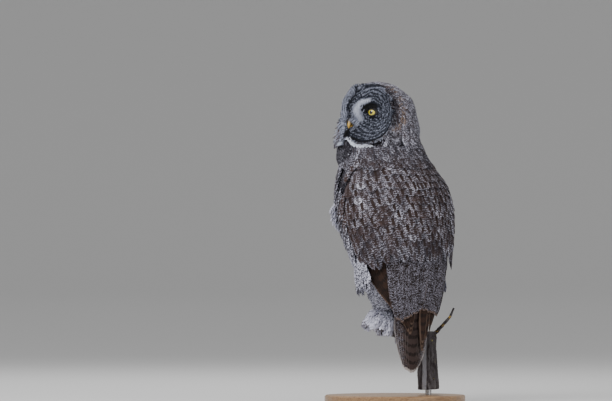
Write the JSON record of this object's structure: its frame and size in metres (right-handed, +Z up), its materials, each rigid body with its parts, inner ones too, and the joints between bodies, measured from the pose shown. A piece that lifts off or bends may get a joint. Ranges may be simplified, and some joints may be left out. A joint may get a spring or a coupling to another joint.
{
  "type": "great grey owl model on a perch",
  "caption": "Life-size still model of a great grey owl with its head turned over its left side, perched on a cut limb that a plain round stand holds up",
  "frame": {"origin": "the middle of the stand's flat underside", "axes": "+Z up along the bird's height, the breast towards -Y, the bird's left side towards +X"},
  "size_m": [0.32, 0.32, 0.7285],
  "materials": {
    "plumage": "matt grey-brown feathers, barred and mottled with dark brown and white",
    "horn": "smooth black horn of the claws",
    "bill": "smooth pale yellow horn",
    "eye": "glossy yellow iris with a round black pupil",
    "bark": "rough grey-brown bark with a little lichen",
    "stand_wood": "satin varnished oak",
    "stand_steel": "brushed"
  },
  "bodies": {
    "root": {"bill_lower": "bill", "bill_upper": "bill", "claw_left_1": "horn", "claw_left_2": "horn", "claw_left_3": "horn", "claw_left_4": "horn", "claw_right_1": "horn", "claw_right_2": "horn", "claw_right_3": "horn", "claw_right_4": "horn", "eye_left": "eye", "eye_right": "eye", "foot_left": "plumage", "foot_right": "plumage", "head": "plumage", "leg_left": "plumage", "leg_right": "plumage", "neck": "plumage", "perch_arm": "bark", "perch_trunk": "bark", "perch_twig": "bark", "stand_base": "stand_wood", "stand_rod": "stand_steel", "tail": "plumage", "torso": "plumage", "wing_left_coverts": "plumage", "wing_left_primaries": "plumage", "wing_left_secondaries": "plumage", "wing_right_coverts": "plumage", "wing_right_primaries": "plumage", "wing_right_secondaries": "plumage"}
  },
  "joints": []
}
